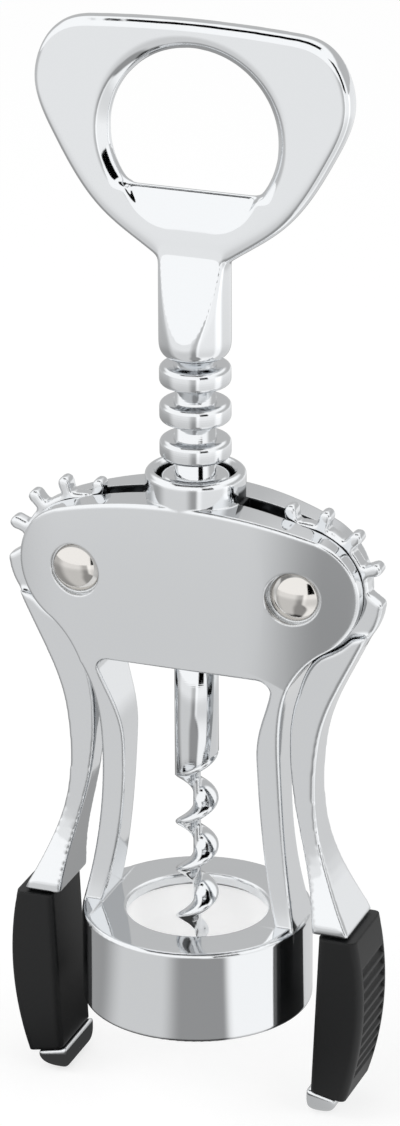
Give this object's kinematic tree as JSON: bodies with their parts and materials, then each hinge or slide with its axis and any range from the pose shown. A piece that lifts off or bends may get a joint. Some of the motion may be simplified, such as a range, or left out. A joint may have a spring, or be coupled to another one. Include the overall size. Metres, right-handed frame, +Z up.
{
  "type": "wing corkscrew",
  "caption": "Wing corkscrew with twin geared levers, ringed rack and helical screw, cap-lifter head, bell ring with plastic liner and ribbed black grips.",
  "frame": {"origin": "centre of the bell's open underside, where the bottle's mouth goes in", "axes": "+Z up along the screw to the opener head, +X across the two levers, -Y out of the front with the flat of the opener"},
  "size_m": [0.0632, 0.0376, 0.1805],
  "materials": {
    "chrome_casting": "bright chrome plating on a die casting",
    "chrome_steel": "bright chrome plating on steel",
    "nickel_rivet": "polished nickel, a little warmer than the chrome",
    "black_grip": "satin black moulded grip",
    "white_liner": "white moulded plastic"
  },
  "bodies": {
    "frame": {"frame_casting": "chrome_casting", "bell_liner": "white_liner", "pivot_rivet_left": "nickel_rivet", "pivot_rivet_right": "nickel_rivet"},
    "left_lever": {"lever_left": "chrome_casting", "grip_left": "black_grip"},
    "right_lever": {"lever_right": "chrome_casting", "grip_right": "black_grip"},
    "rack": {"rack_sleeve": "chrome_steel"},
    "handle": {"opener_head": "chrome_casting", "screw": "chrome_steel"}
  },
  "joints": [
    {"name": "rack_slide", "type": "slide", "parent": "frame", "child": "rack", "axis": [0, 0, -1], "range_m": [0, 0.02777]},
    {"name": "handle_spin", "type": "hinge", "parent": "rack", "child": "handle", "pos_m": [0, 0, 0.111], "axis": [0, 0, 1], "continuous": true},
    {"name": "left_lever_swing", "type": "hinge", "parent": "frame", "child": "left_lever", "pos_m": [-0.01825, 0, 0.075], "axis": [0, 1, 0], "range_deg": [0, 120.1]},
    {"name": "right_lever_swing", "type": "hinge", "parent": "frame", "child": "right_lever", "pos_m": [0.01825, 0, 0.075], "axis": [0, -1, 0], "range_deg": [0, 120.1]}
  ],
  "couplings": [
    {"joint": "left_lever_swing", "follows": "rack_slide", "rad_per_m": 75.415},
    {"joint": "right_lever_swing", "follows": "rack_slide", "rad_per_m": 75.415}
  ]
}
